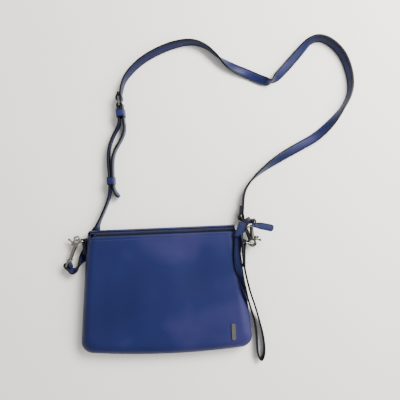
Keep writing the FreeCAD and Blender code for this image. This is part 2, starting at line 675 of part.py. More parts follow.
def main():
    os.makedirs("parts", exist_ok=True)
    bag_body()
    zip_chain()
    zip_slider()
    zip_pull()
    d_ring("left_d_ring", LEFT_D, LEFT_BOW)
    d_ring("right_d_ring", RIGHT_D, RIGHT_BOW)
    side_tab("left_side_tab", LEFT_D, -1, LEFT_TAB_FOOT)
    side_tab("right_side_tab", RIGHT_D, 1, RIGHT_TAB_FOOT)
    emblem()
    clasp("left", LEFT_EYE, LEFT_BOW, CLASP_LENGTH, STRAP_WIDTH, True)
    clasp("right", RIGHT_EYE, RIGHT_BOW, CLASP_LENGTH, STRAP_WIDTH, True)
    clasp("wrist", WRIST_EYE, RIGHT_BOW, WRIST_CLASP_LENGTH, WRIST_WIDTH, False)
    shoulder_strap()
    buckle()
    along = V(BUCKLE_AIM).normalize()
    keeper("keeper_upper", BUCKLE + along * KEEPER_REACH, along, 2 * STRAP_THICK + 2 * (BAR_R + 0.2))
    keeper("keeper_lower", LOWER_KEEPER, V(0, -1, 0), 2 * STRAP_THICK + LOWER_GAP)
    save("strap_turn", turn_back())
    save("strap_tail", ribbon("strap_tail", TAIL_ROUTE, STRAP_THICK, STRAP_WIDTH, STRAP_Z))
    wrist_strap()
    wrist_tab()


main()
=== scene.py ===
"""Looks of a zip-top sling bag lying on a table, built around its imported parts."""

import math

import bmesh
import bpy
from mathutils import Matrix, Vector, noise


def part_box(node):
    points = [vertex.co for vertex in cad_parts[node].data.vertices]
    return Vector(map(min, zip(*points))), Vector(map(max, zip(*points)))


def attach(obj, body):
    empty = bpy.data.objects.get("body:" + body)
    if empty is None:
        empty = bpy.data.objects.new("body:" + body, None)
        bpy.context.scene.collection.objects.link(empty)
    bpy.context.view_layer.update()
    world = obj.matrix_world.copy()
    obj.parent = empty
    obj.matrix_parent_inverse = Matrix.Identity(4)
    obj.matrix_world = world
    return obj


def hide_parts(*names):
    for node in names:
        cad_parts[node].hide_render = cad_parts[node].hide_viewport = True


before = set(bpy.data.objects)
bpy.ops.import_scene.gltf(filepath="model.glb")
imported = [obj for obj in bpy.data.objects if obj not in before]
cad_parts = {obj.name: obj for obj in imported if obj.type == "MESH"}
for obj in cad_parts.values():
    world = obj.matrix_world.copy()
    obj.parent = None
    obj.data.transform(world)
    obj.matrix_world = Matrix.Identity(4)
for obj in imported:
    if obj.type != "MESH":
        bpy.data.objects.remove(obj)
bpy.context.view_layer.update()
bpy.ops.object.select_all(action="DESELECT")

MM = 0.001
UP = Vector((0, 0, 1))

# The bag's own measures, in millimetres, as its CAD part has them.
BASE_WIDTH, TOP_WIDTH = 223.0, 193.0
BASE_Y, TOP_Y = -77.0, 82.0
DEPTH, SEAM_Z = 25.0, 10.0
FOOT_INSET, CROWN_INSET, CROWN_TOP_INSET = 16.0, 14.0, 8.0
LEATHER = 1.6
ZIP_MIDDLE = Vector((0, 77.1, 19.5))
ZIP_ACROSS = Vector((0, -8.4, 11.0)).normalized()
ZIP_OUT = Vector((0, ZIP_ACROSS.z, -ZIP_ACROSS.y))
ZIP_LEFT, ZIP_RIGHT, MOUTH_HALF = -86.0, 107.4, 5.2
SLIDER_X = 98.5
PULL_HINGE_X, PULL_OUT, PULL_DROOP = 115.5, 5.6, 4.0
STRAP_WIDTH, STRAP_THICK = 12.0, 2.5
WRIST_WIDTH, WRIST_THICK = 9.0, 2.0
BAR_R = 1.1
RIGHT_EYE, LEFT_EYE, WRIST_EYE = Vector((102.5, 91, 8.5)), Vector((-124.5, 38, 8.5)), Vector((114.5, 86, 15.3))
RIGHT_BOW = Vector((115.3, 57.1, 15.3))
BUCKLE, BUCKLE_AIM, BUCKLE_REACH = Vector((-49, 252, 8.5)), Vector((0.06, -0.998, 0)), 10.0

# The pouch's corners are a little tighter here than on the CAD part. The lift rounds them more towards the back.
BASE_CORNER, TOP_CORNER, CORNER_LIFT = 13.0, 4.0, 34.0
# The row of stitches on the front's top edge, and the lining: its thickness and how far it lies inside the leather.
SEAM_ROW_Y, SEAM_ROW_Z = 69.6, 25.12
LINING, LINING_INSET, LINING_CORE, LINING_FLOOR, LINING_FLATTER = 0.6, 2.4, 40.0, 2.1, 4.4


# ---------------------------------------------------------------- finishes

class Finish:
    """One material under construction: its nodes, its shader and its output."""

    def __init__(self, name):
        self.material = bpy.data.materials.new(name)
        self.material.use_nodes = True
        self.tree = self.material.node_tree
        self.tree.nodes.clear()
        self.shader = self.add("ShaderNodeBsdfPrincipled")
        out = self.add("ShaderNodeOutputMaterial")
        self.link(self.shader.outputs["BSDF"], out.inputs["Surface"])

    def add(self, kind, **settings):
        return add_node(self.tree, kind, **settings)

    def link(self, start, end):
        self.tree.links.new(start, end)

    def effect(self, group, vector, **values):
        """Places a shared effect, fed with a pattern vector and its own values."""
        node = self.add("ShaderNodeGroup")
        node.node_tree = group
        self.link(vector, node.inputs["Vector"])
        for name, value in values.items():
            node.inputs[name.replace("_", " ")].default_value = value
        return node

    def place(self, source="Object"):
        return self.add("ShaderNodeTexCoord").outputs[source]

    def relief(self, height, strength, distance, under=None):
        """Bumps the surface by a height, over what another bump gives."""
        bump = self.add("ShaderNodeBump")
        bump.inputs["Strength"].default_value = strength
        bump.inputs["Distance"].default_value = distance
        self.link(height, bump.inputs["Height"])
        if under:
            self.link(under, bump.inputs["Normal"])
        self.link(bump.outputs["Normal"], self.shader.inputs["Normal"])
        return bump.outputs["Normal"]


def add_node(tree, kind, **settings):
    node = tree.nodes.new(kind)
    for name, value in settings.items():
        if name in node.inputs:
            node.inputs[name].default_value = value
        else:
            setattr(node, name, value)
    return node


def new_effect(name, inputs, outputs):
    """An empty shared effect with named inputs and outputs."""
    group = bpy.data.node_groups.new(name, "ShaderNodeTree")
    for label, kind, value in inputs:
        socket = group.interface.new_socket(label, in_out="INPUT", socket_type=kind)
        if value is not None:
            socket.default_value = value
    for label, kind in outputs:
        group.interface.new_socket(label, in_out="OUTPUT", socket_type=kind)
    return group, group.nodes.new("NodeGroupInput"), group.nodes.new("NodeGroupOutput")


def math_node(tree, operation, first, second=None, third=None, clamp=False):
    node = tree.nodes.new("ShaderNodeMath")
    node.operation = operation
    node.use_clamp = clamp
    for index, value in enumerate((first, second, third)):
        if value is None:
            continue
        if isinstance(value, (int, float)):
            node.inputs[index].default_value = value
        else:
            tree.links.new(value, node.inputs[index])
    return node.outputs[0]


def mix_colour(tree, share, first, second):
    node = tree.nodes.new("ShaderNodeMix")
    node.data_type = "RGBA"
    for socket, value in ((node.inputs[0], share), (node.inputs[6], first), (node.inputs[7], second)):
        if isinstance(value, (int, float, tuple)):
            socket.default_value = value
        else:
            tree.links.new(value, socket)
    return node.outputs[2]


def hide_effect():
    """Fine pebbled grain with slow changes of tone, as on coated leather, plus paler patches that are painted sheen
    and darkened grain hollows that are painted shade.
    """
    group, given, out = new_effect(
        "hide",
        [("Vector", "NodeSocketVector", None), ("Colour", "NodeSocketColor", (0.05, 0.08, 0.2, 1)),
         ("Deep", "NodeSocketColor", (0.02, 0.03, 0.1, 1)), ("Pale", "NodeSocketColor", (0.1, 0.12, 0.3, 1)),
         ("Grain", "NodeSocketFloat", 1100.0), ("Mottle", "NodeSocketFloat", 14.0),
         ("Gloss", "NodeSocketFloat", 0.42)],
        [("Colour", "NodeSocketColor"), ("Roughness", "NodeSocketFloat"), ("Height", "NodeSocketFloat")])
    pebble = add_node(group, "ShaderNodeTexVoronoi", feature="SMOOTH_F1", Smoothness=0.6)
    crease = add_node(group, "ShaderNodeTexNoise", Scale=160.0, Detail=4.0)
    slow = add_node(group, "ShaderNodeTexNoise", Detail=2.0, Roughness=0.45)
    for node in (pebble, crease, slow):
        group.links.new(given.outputs["Vector"], node.inputs["Vector"])
    group.links.new(given.outputs["Grain"], pebble.inputs["Scale"])
    group.links.new(given.outputs["Mottle"], slow.inputs["Scale"])
    wide = add_node(group, "ShaderNodeMapRange")
    wide.inputs[1].default_value, wide.inputs[2].default_value = 0.32, 0.68
    group.links.new(slow.outputs[0], wide.inputs[0])
    deep = mix_colour(group, wide.outputs[0], given.outputs["Deep"], given.outputs["Colour"])
    # Painted sheen: where the slow noise runs high the colour turns to the pale tone, standing in for light reflected
    # off the gloss.
    high = math_node(group, "MULTIPLY_ADD", wide.outputs[0], 2.2, -1.35, clamp=True)
    toned = mix_colour(group, high, deep, given.outputs["Pale"])
    # Painted shade: the hollows between the grain's pebbles are darkened towards the deep tone.
    pit_shade = math_node(group, "MULTIPLY", pebble.outputs["Distance"], 0.22, clamp=True)
    group.links.new(mix_colour(group, pit_shade, toned, given.outputs["Deep"]), out.inputs["Colour"])
    rough = math_node(group, "MULTIPLY_ADD", crease.outputs[0], 0.16, given.outputs["Gloss"])
    group.links.new(rough, out.inputs["Roughness"])
    raised = math_node(group, "MULTIPLY_ADD", pebble.outputs["Distance"], -0.8, crease.outputs[0])
    group.links.new(raised, out.inputs["Height"])
    return group


def weave_effect():
    """Plain weave of two crossing sets of threads."""
    group, given, out = new_effect(
        "weave",
        [("Vector", "NodeSocketVector", None), ("Pitch", "NodeSocketFloat", 0.0008)],
        [("Thread", "NodeSocketFloat"), ("Height", "NodeSocketFloat")])
    split = group.nodes.new("ShaderNodeSeparateXYZ")
    group.links.new(given.outputs["Vector"], split.inputs[0])
    waves = []
    for axis in (0, 1):
        turn = math_node(group, "DIVIDE", split.outputs[axis], given.outputs["Pitch"])
        wave = math_node(group, "SINE", math_node(group, "MULTIPLY", turn, math.pi))
        waves.append(math_node(group, "ABSOLUTE", wave))
    both = math_node(group, "MULTIPLY", waves[0], waves[1])
    group.links.new(both, out.inputs["Thread"])
    group.links.new(math_node(group, "POWER", both, 0.5), out.inputs["Height"])
    return group


def seam_effect():
    """On a band's own map (across from -1 to 1, along in metres): painted edges and two rows of stitches."""
    group, given, out = new_effect(
        "edges and stitches",
        [("Vector", "NodeSocketVector", None), ("Row", "NodeSocketFloat", 0.74), ("Pitch", "NodeSocketFloat", 0.0034),
         ("Edge", "NodeSocketFloat", 0.965)],
        [("Painted", "NodeSocketFloat"), ("Thread", "NodeSocketFloat"), ("Height", "NodeSocketFloat")])
    split = group.nodes.new("ShaderNodeSeparateXYZ")
    group.links.new(given.outputs["Vector"], split.inputs[0])
    across = math_node(group, "ABSOLUTE", split.outputs[0])
    past_edge = math_node(group, "SUBTRACT", across, given.outputs["Edge"])
    painted = math_node(group, "MULTIPLY", past_edge, 60.0, clamp=True)
    group.links.new(painted, out.inputs["Painted"])
    off_row = math_node(group, "ABSOLUTE", math_node(group, "SUBTRACT", across, given.outputs["Row"]))
    narrow = math_node(group, "MULTIPLY_ADD", off_row, -26.0, 1.0, clamp=True)
    place = math_node(group, "FRACT", math_node(group, "DIVIDE", split.outputs[1], given.outputs["Pitch"]))
    from_middle = math_node(group, "ABSOLUTE", math_node(group, "SUBTRACT", place, 0.5))
    bead = math_node(group, "MULTIPLY_ADD", from_middle, -9.0, 3.4, clamp=True)
    thread = math_node(group, "MULTIPLY", narrow, bead)
    group.links.new(thread, out.inputs["Thread"])
    furrow = math_node(group, "MULTIPLY_ADD", off_row, -10.0, 1.0, clamp=True)
    raised = math_node(group, "MULTIPLY_ADD", thread, 1.6, math_node(group, "MULTIPLY", furrow, -1.0))
    group.links.new(raised, out.inputs["Height"])
    return group


HIDE, WEAVE, SEAM = hide_effect(), weave_effect(), seam_effect()


def leather(name, colour, deep, highlight_tone, grain=1100.0, patch_scale=14.0, gloss=0.4, bump=0.35):
    """Coated leather with a fine grain, paler patches of painted sheen and painted shade in the grain's hollows."""
    finish = Finish(name)
    hide = finish.effect(HIDE, finish.place(), Colour=colour, Deep=deep, Pale=highlight_tone, Grain=grain, Mottle=patch_scale,
                         Gloss=gloss)
    finish.link(hide.outputs["Colour"], finish.shader.inputs["Base Color"])
    finish.link(hide.outputs["Roughness"], finish.shader.inputs["Roughness"])
    finish.relief(hide.outputs["Height"], bump, 0.0002)
    finish.shader.inputs["Specular IOR Level"].default_value = 0.25
    finish.shader.inputs["Sheen Weight"].default_value = 0.02
    finish.shader.inputs["Sheen Roughness"].default_value = 0.5
    return finish.material


def sewn_leather(name, colour, deep, highlight_tone, edge, row=0.74, pitch=0.0034):
    """Leather band with black painted edges and a row of stitches along each side."""
    finish = Finish(name)
    # As on the bag, the hide's pale patches are painted sheen and its darkened grain hollows are painted shade.
    hide = finish.effect(HIDE, finish.place(), Colour=colour, Deep=deep, Pale=highlight_tone, Grain=1300.0, Mottle=28.0,
                         Gloss=0.4)
    seam = finish.effect(SEAM, finish.place("UV"), Row=row, Pitch=pitch, Edge=edge)
    threaded = mix_colour(finish.tree, seam.outputs["Thread"], hide.outputs["Colour"], THREAD_BLUE)
    painted = mix_colour(finish.tree, seam.outputs["Painted"], threaded, EDGE_PAINT)
    finish.link(painted, finish.shader.inputs["Base Color"])
    smooth = math_node(finish.tree, "MULTIPLY_ADD", seam.outputs["Painted"], -0.08, hide.outputs["Roughness"])
    finish.link(smooth, finish.shader.inputs["Roughness"])
    fine = finish.relief(hide.outputs["Height"], 0.3, 0.0002)
    finish.relief(seam.outputs["Height"], 0.8, 0.0005, under=fine)
    finish.shader.inputs["Specular IOR Level"].default_value = 0.22
    return finish.material


def cloth(name, light, dark, pitch, rough=0.85):
    """Woven cloth or tape."""
    finish = Finish(name)
    weave = finish.effect(WEAVE, finish.place(), Pitch=pitch)
    toned = mix_colour(finish.tree, weave.outputs["Thread"], dark, light)
    finish.link(toned, finish.shader.inputs["Base Color"])
    finish.relief(weave.outputs["Height"], 0.5, 0.0003)
    finish.shader.inputs["Roughness"].default_value = rough
    finish.shader.inputs["Sheen Weight"].default_value = 0.08
    return finish.material


def metal(name, colour, rough, scratch=0.1):
    """Plated metal with faint rubbing marks."""
    finish = Finish(name)
    rub = finish.add("ShaderNodeTexNoise", Scale=900.0, Detail=3.0)
    cloud = finish.add("ShaderNodeTexNoise", Scale=120.0, Detail=2.0)
    for node in (rub, cloud):
        finish.link(finish.place(), node.inputs["Vector"])
    worn = math_node(finish.tree, "MULTIPLY_ADD", rub.outputs[0], scratch, rough)
    finish.link(worn, finish.shader.inputs["Roughness"])
    tone = mix_colour(finish.tree, cloud.outputs[0], colour, tuple(0.72 * c for c in colour[:3]) + (1,))
    finish.link(tone, finish.shader.inputs["Base Color"])
    finish.shader.inputs["Metallic"].default_value = 1.0
    finish.relief(rub.outputs[0], 0.06, 0.0002)
    return finish.material


# Each leather's main and deep tone, and the pale tone that is painted on in patches as sheen.
BAG_BLUE = (0.0046, 0.0098, 0.071, 1), (0.0028, 0.0066, 0.052, 1), (0.0175, 0.0165, 0.080, 1)
STRAP_BLUE = (0.0066, 0.0105, 0.062, 1), (0.0042, 0.0068, 0.044, 1), (0.0115, 0.0155, 0.078, 1)
TAB_BLUE = (0.013, 0.019, 0.068, 1), (0.008, 0.012, 0.046, 1), (0.021, 0.027, 0.085, 1)
PULL_BLUE = (0.012, 0.018, 0.065, 1), (0.008, 0.012, 0.046, 1), (0.020, 0.026, 0.08, 1)
DARK_BLUE = (0.004, 0.006, 0.024, 1), (0.002, 0.003, 0.010, 1), (0.008, 0.010, 0.03, 1)
COIL_BLUE = (0.0025, 0.005, 0.030, 1), (0.0015, 0.003, 0.018, 1), (0.005, 0.009, 0.042, 1)
THREAD_BLUE, EDGE_PAINT = (0.026, 0.038, 0.12, 1), (0.0025, 0.003, 0.005, 1)

bag_leather = leather("bag leather", *BAG_BLUE, gloss=0.46)
strap_leather = sewn_leather("strap leather", *STRAP_BLUE, 0.80)
tab_leather = sewn_leather("tab leather", *TAB_BLUE, 0.955, row=0.7)
pull_leather = sewn_leather("pull leather", *PULL_BLUE, 0.93, row=0.7)
dark_leather = sewn_leather("side tab leather", *DARK_BLUE, 0.93)
coil_nylon = leather("zip coil nylon", *COIL_BLUE, grain=2500.0, gloss=0.75, bump=0.1)
lining_cloth = cloth("lining cloth", (0.02, 0.022, 0.05, 1), (0.006, 0.007, 0.02, 1), 0.0006)
tape_cloth = cloth("zip tape cloth", (0.0028, 0.0055, 0.034, 1), (0.0012, 0.0024, 0.016, 1), 0.0007)
thread_cloth = cloth("sewing thread", THREAD_BLUE, (0.012, 0.019, 0.07, 1), 0.0003, rough=0.6)
nickel = metal("nickel", (0.33, 0.315, 0.29, 1), 0.20)
# Painted shade: a darker copy of the nickel, standing in for the shade that the right-hand clasps lie in.
shaded_nickel = metal("nickel with painted shade", (0.135, 0.125, 0.115, 1), 0.22)
spring_steel = metal("spring steel", (0.38, 0.38, 0.39, 1), 0.3)


def dress(obj, material, body):
    """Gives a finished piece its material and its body."""
    obj.data.materials.clear()
    obj.data.materials.append(material)
    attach(obj, body)
    return obj


# ---------------------------------------------------------------- making meshes

def as_object(name, mesh_data):
    made = bpy.data.objects.new(name, mesh_data)
    bpy.context.scene.collection.objects.link(made)
    return made


def only(obj):
    """Makes one object the selected and active one."""
    bpy.ops.object.select_all(action="DESELECT")
    obj.select_set(True)
    bpy.context.view_layer.objects.active = obj


def apply_modifier(obj, kind, **settings):
    only(obj)
    modifier = obj.modifiers.new(kind.lower(), kind)
    for name, value in settings.items():
        setattr(modifier, name, value)
    bpy.ops.object.modifier_apply(modifier=modifier.name)


def smooth(obj, angle=40.0):
    only(obj)
    bpy.ops.object.shade_smooth_by_angle(angle=math.radians(angle))


def lie_along(points, resolution=12):
    """Points of the smooth line that a route's control points give."""
    curve = bpy.data.curves.new("route", "CURVE")
    curve.dimensions = "3D"
    spline = curve.splines.new("NURBS")
    spline.points.add(len(points) - 1)
    for point, place in zip(spline.points, points):
        point.co = (place[0] * MM, place[1] * MM, place[2] * MM, 1)
    spline.order_u = 3
    spline.use_endpoint_u = True
    spline.resolution_u = resolution
    carrier = as_object("route", curve)
    bpy.context.view_layer.update()
    read = bpy.data.meshes.new_from_object(carrier.evaluated_get(bpy.context.evaluated_depsgraph_get()))
    line = [Vector(v.co) for v in read.vertices]
    bpy.data.objects.remove(carrier)
    bpy.data.curves.remove(curve)
    bpy.data.meshes.remove(read)
    return line


def control_shares(count, samples):
    """For each sample along the line, the two controls that it lies between and how far it has come."""
    spans = count - 2
    places = [0.0] + [index - 0.5 for index in range(1, count - 1)] + [float(spans)]
    shares = []
    for sample in range(samples):
        at = spans * sample / (samples - 1)
        index = max(i for i in range(count - 1) if places[i] <= at + 1e-9)
        shares.append((index, (at - places[index]) / (places[index + 1] - places[index])))
    return shares


def band_section(width, thick):
    """Half-widths and half-thicknesses round a strap: flat faces, sunk stitch rows, rounded painted edges."""
    w, t = width / 2, thick / 2
    half = [(-1.0, 0.6), (-0.985, 0.88), (-0.95, 1.0), (-0.86, 1.02), (-0.76, 0.86), (-0.72, 0.84), (-0.64, 0.96),
            (-0.3, 1.0), (0.0, 1.02)]
    upper = half + [(-a, b) for a, b in reversed(half[:-1])]
    lower = [(a, -b) for a, b in reversed(upper)]
    return [(a * w, b * t, a) for a, b in upper + lower]


def band(name, line, sides, width, thick, closed=False, tip=0.0, floor=None, shape=None):
    """Strap of sewn leather that follows a line, its width lying along the given directions."""
    section = band_section(width, thick)
    count = len(section)
    total = len(line)
    built = bmesh.new()
    rings, lengths = [], [0.0]
    for index in range(1, total):
        lengths.append(lengths[-1] + (line[index] - line[index - 1]).length)
    for index, point in enumerate(line):
        after = line[(index + 1) % total] if closed or index + 1 < total else point
        before = line[index - 1] if closed or index else point
        along = (after - before).normalized()
        across = (sides[index] - along * sides[index].dot(along)).normalized()
        face = along.cross(across)
        left = lengths[-1] - lengths[index]
        narrow = 1.0
        if tip and left < tip * MM:
            narrow = max(0.25, math.sqrt(max(0.0, 1 - (1 - left / (tip * MM)) ** 2)))
        if shape:
            narrow = shape(lengths[index] / MM)
        ring = []
        for a, b, _ in section:
            place = point + across * (a * narrow * MM) + face * (b * MM)
            if floor is not None and place.z < floor * MM:
                place.z = floor * MM
            ring.append(built.verts.new(place))
        rings.append(ring)
    uv = built.loops.layers.uv.new("UVMap")
    pairs = list(zip(range(total - 1), range(1, total))) + ([(total - 1, 0)] if closed else [])
    for first, second in pairs:
        start = lengths[first]
        end = lengths[second] if second else lengths[-1] + (line[0] - line[-1]).length
        for k in range(count):
            m = (k + 1) % count
            face = built.faces.new((rings[first][k], rings[first][m], rings[second][m], rings[second][k]))
            for loop, (index, at) in zip(face.loops, ((k, start), (m, start), (m, end), (k, end))):
                loop[uv].uv = (section[index][2], at)
    if not closed:
        for ring, at in ((rings[0], 0.0), (rings[-1], lengths[-1])):
            cap = built.faces.new(ring)
            for loop in cap.loops:
                loop[uv].uv = (1.0, at)
    bmesh.ops.recalc_face_normals(built, faces=built.faces)
    mesh_data = bpy.data.meshes.new(name)
    built.to_mesh(mesh_data)
    built.free()
    made = as_object(name, mesh_data)
    smooth(made, 55)
    return made, lengths[-1]


def strap(name, route, width, thick, tip=0.0, floor=0.1, resolution=12):
    """Flat strap along a route whose points are (x, y, height, lean): lean 0 stands on edge, 90 lies flat."""
    line = lie_along([p[:3] for p in route], resolution)
    shares = control_shares(len(route), len(line))
    sides = []
    for index, (control, share) in enumerate(shares):
        lean = math.radians(route[control][3] * (1 - share) + route[control + 1][3] * share)
        before, after = line[max(index - 1, 0)], line[min(index + 1, len(line) - 1)]
        along = (after - before).normalized()
        left = UP.cross(along).normalized()
        sides.append(UP * math.cos(lean) + left * math.sin(lean))
    made, length = band(name, line, sides, width, thick, tip=tip, floor=floor)
    return made, line, length


def turn_round(bar, away, reach, thick, lean=0.0, height=None, gap=0.1, flip=1):
    """Controls that take a strap round an upright bar and back beside itself, from the far end of the short layer."""
    ahead = Vector((away.x, away.y, 0)).normalized()
    side = Vector((-ahead.y, ahead.x, 0)) * flip
    r = BAR_R + 0.15 + thick / 2
    lay = thick / 2 + gap
    z = bar.z if height is None else height
    steps = [(reach, lay), (reach * 0.6, lay), (r * 1.9, lay * 1.05), (r * 0.6, r * 1.12), (-r * 0.75, r * 1.2),
             (-r * 1.25, r * 0.5)]
    steps += [(a, -b) for a, b in reversed(steps[1:])]
    controls = []
    for a, s in steps:
        place = bar + ahead * a + side * s
        controls.append((place.x, place.y, z, lean))
    return controls


# ---------------------------------------------------------------- shoulder strap

def rest_height(lean):
    """Height of a strap's middle when it lies on the table at a lean."""
    a = math.radians(lean)
    return STRAP_WIDTH / 2 * abs(math.cos(a)) + STRAP_THICK / 2 * abs(math.sin(a)) + 0.25


UPPER_PLAN = [
    (107.5, 124, 0), (118, 139, 4), (135, 153, 24), (157, 167, 56), (182, 180, 84),
    (205, 191, 104), (224, 207, 132), (241, 227, 170), (253, 248, 170), (253, 271, 158), (246, 295, 153),
    (234, 311, 155), (218, 321, 158), (203, 319, 150), (191, 307, 124), (173, 288, 108), (158, 273, 126),
    (150, 266, 180), (141, 267, 122), (120, 278, 96), (98, 288, 62), (80, 303, 8), (67, 316, 0),
    (48, 323, -14), (25, 320, -24), (2, 312, -26), (-20, 300, -24), (-36, 285, -18), (-44, 273, -6),
]
right_end = turn_round(RIGHT_EYE, Vector((2.6, 21, 0)), 15, STRAP_THICK)
far_end = turn_round(BUCKLE, Vector((1.5, 12, 0)), 7.5, STRAP_THICK)
upper_route = right_end + [(x, y, rest_height(lean), lean) for x, y, lean in UPPER_PLAN] + list(reversed(far_end))
upper, line, length = strap("strap_upper_web", upper_route, STRAP_WIDTH, STRAP_THICK)
dress(upper, strap_leather, "bag")
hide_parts("strap_upper", "strap_fold_right", "strap_fold_buckle")

left_end = turn_round(LEFT_EYE, Vector((2.5, -4.5, 0)), 5, STRAP_THICK)[:-1]
LOWER_PLAN = [
    (-118.6, 29.0, 7.2, -28), (-113.2, 32.2, 6.9, -20), (-108.4, 41.6, 6.0, 10), (-105.2, 47.6, 3.4, 55),
    (-101.3, 54.5, 1.6, 88), (-94.8, 67.5, 1.6, 90), (-88.6, 79.6, 4.2, 50), (-85.0, 87.0, 6.0, 10),
    (-81.0, 95, 6.4, 0), (-73.5, 110, 6.3, 0), (-68.0, 123, 6.5, 0), (-65.6, 136, 7.2, 0), (-65.7, 152, 7.4, 0),
    (-66.8, 165, 6.6, 0), (-66.6, 179, 6.4, 0), (-64.2, 192, 6.4, 0), (-59.4, 203, 6.4, 0), (-54.0, 212, 6.6, 0),
    (-50.6, 219, 7.0, 0), (-50.2, 226, 7.4, 0),
]
second_bar = BUCKLE + BUCKLE_AIM * BUCKLE_REACH
buckle_turn = list(reversed(turn_round(second_bar, BUCKLE_AIM, 10, STRAP_THICK, height=8.0, gap=1.2)))[1:]
lower, line, length = strap("strap_lower_web", left_end + LOWER_PLAN + buckle_turn, STRAP_WIDTH, STRAP_THICK)
dress(lower, strap_leather, "bag")
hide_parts("strap_lower", "strap_fold_left", "strap_under_corner", "strap_turn")

TAIL_PLAN = [
    (-44.9, 231.0, 7.8, 0), (-44.6, 223.9, 7.4, 0), (-43.6, 214, 6.6, 0), (-46.0, 204, 6.4, 0), (-51.8, 194, 6.4, 0),
    (-58.0, 184.5, 6.4, 0), (-61.4, 173, 6.6, 0), (-61.9, 155, 7.4, 0), (-61.8, 138, 7.2, 0), (-59.8, 130, 6.6, -6),
    (-54.6, 123.4, 6.4, -12),
]
tail, line, length = strap("strap_tail_web", TAIL_PLAN, STRAP_WIDTH, STRAP_THICK, tip=5.0)
dress(tail, strap_leather, "bag")
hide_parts("strap_tail")


# ---------------------------------------------------------------- keepers

KEEPER_LENGTH, KEEPER_WALL, KEEPER_GAP, KEEPER_CORNER = 10.0, 1.2, 0.3, 1.3


def keeper(name, node, aim, holds, body):
    """Leather loop round the strands, whose width together it holds, at its node's middle."""
    start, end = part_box(node)
    origin = (start + end) / 2 / MM
    ahead = Vector((aim.x, aim.y, 0)).normalized()
    across = Vector((-ahead.y, ahead.x, 0))
    half_wide = holds / 2 + KEEPER_GAP + KEEPER_WALL / 2
    half_high = STRAP_WIDTH / 2 + KEEPER_GAP + KEEPER_WALL / 2
    line = []
    for quarter, (sx, sz) in enumerate(((1, 1), (-1, 1), (-1, -1), (1, -1))):
        for step in range(7):
            a = math.radians(90 * quarter + 90 * step / 6)
            wide = sx * (half_wide - KEEPER_CORNER) + KEEPER_CORNER * math.cos(a)
            high = sz * (half_high - KEEPER_CORNER) + KEEPER_CORNER * math.sin(a)
            line.append(origin * MM + (across * wide + UP * high) * MM)
    made, _ = band(name, line, [ahead] * len(line), KEEPER_LENGTH, KEEPER_WALL, closed=True)
    dress(made, strap_leather, body)
    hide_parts(node)


keeper("upper_keeper_loop", "keeper_upper", BUCKLE_AIM, 7.7, "keeper_upper")
keeper("lower_keeper_loop", "keeper_lower", Vector((0, 1, 0)), 6.5, "bag")


# ---------------------------------------------------------------- wrist loop

WRIST_PLAN = [
    (96.6, 72.0, 27.2, 90), (95.2, 60.0, 26.9, 90), (93.9, 46.0, 27.0, 90), (94.6, 29.0, 27.8, 72),
    (99.2, 12.0, 29.4, 24), (104.5, -8.0, 24.0, 0), (110.0, -27.0, 13.0, 0), (115.0, -45.0, 6.0, 0),
    (116.8, -62.0, 5.0, 0), (116.9, -78.0, 5.0, 0), (117.2, -89.0, 5.0, 0), (121.2, -97.6, 5.0, 0),
    (125.6, -90.0, 5.0, 0), (126.4, -78.0, 5.0, 0), (124.8, -61.0, 5.0, 0), (120.8, -44.0, 6.0, 0),
    (115.6, -24.0, 12.6, 0), (109.2, -5.0, 23.4, 0), (105.0, 12.0, 29.4, 0), (102.0, 29.0, 29.8, 0),
    (100.7, 46.0, 29.8, 0), (100.4, 62.0, 29.6, 0), (100.4, 70.0, 28.6, 24),
]
wrist, line, length = strap("wrist_strap_web", WRIST_PLAN, WRIST_WIDTH, WRIST_THICK)
dress(wrist, strap_leather, "bag")
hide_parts("wrist_strap")


# ---------------------------------------------------------------- pouch

def half_width(y):
    """Half the pouch's width at a height y up its front."""
    share = (TOP_Y - y) / (TOP_Y - BASE_Y)
    return TOP_WIDTH / 2 + share * (BASE_WIDTH - TOP_WIDTH) / 2


ARC_STEPS = 10
RUNS = (26, 36, 26, 36)


def outline_ring(z, inset, top_inset, lift):
    """The pouch's rounded outline at one height, from its lower right corner round to the left."""
    top, base = TOP_Y - top_inset, BASE_Y + inset
    right, high = half_width(base) - inset, half_width(top) - inset
    corners = [Vector((right, base)), Vector((high, top)), Vector((-high, top)), Vector((-right, base))]
    radii = (BASE_CORNER + lift, TOP_CORNER + lift, TOP_CORNER + lift, BASE_CORNER + lift)
    arcs = []
    for k in range(4):
        back, ahead = (corners[k - 1] - corners[k]).normalized(), (corners[(k + 1) % 4] - corners[k]).normalized()
        half = back.angle(ahead) / 2
        centre = corners[k] + (back + ahead).normalized() * (radii[k] / math.sin(half))
        start = corners[k] + back * (radii[k] / math.tan(half)) - centre
        end = corners[k] + ahead * (radii[k] / math.tan(half)) - centre
        sweep = start.angle(end)
        arcs.append([centre + (start * math.sin(sweep * (1 - s / ARC_STEPS)) + end * math.sin(sweep * s / ARC_STEPS))
                     / math.sin(sweep) for s in range(ARC_STEPS + 1)])
    ring = []
    for k in range(4):
        after = arcs[(k + 1) % 4][0]
        ring += arcs[k] + [arcs[k][-1].lerp(after, s / RUNS[k]) for s in range(1, RUNS[k])]
    return [Vector((p.x, p.y, z)) for p in ring]


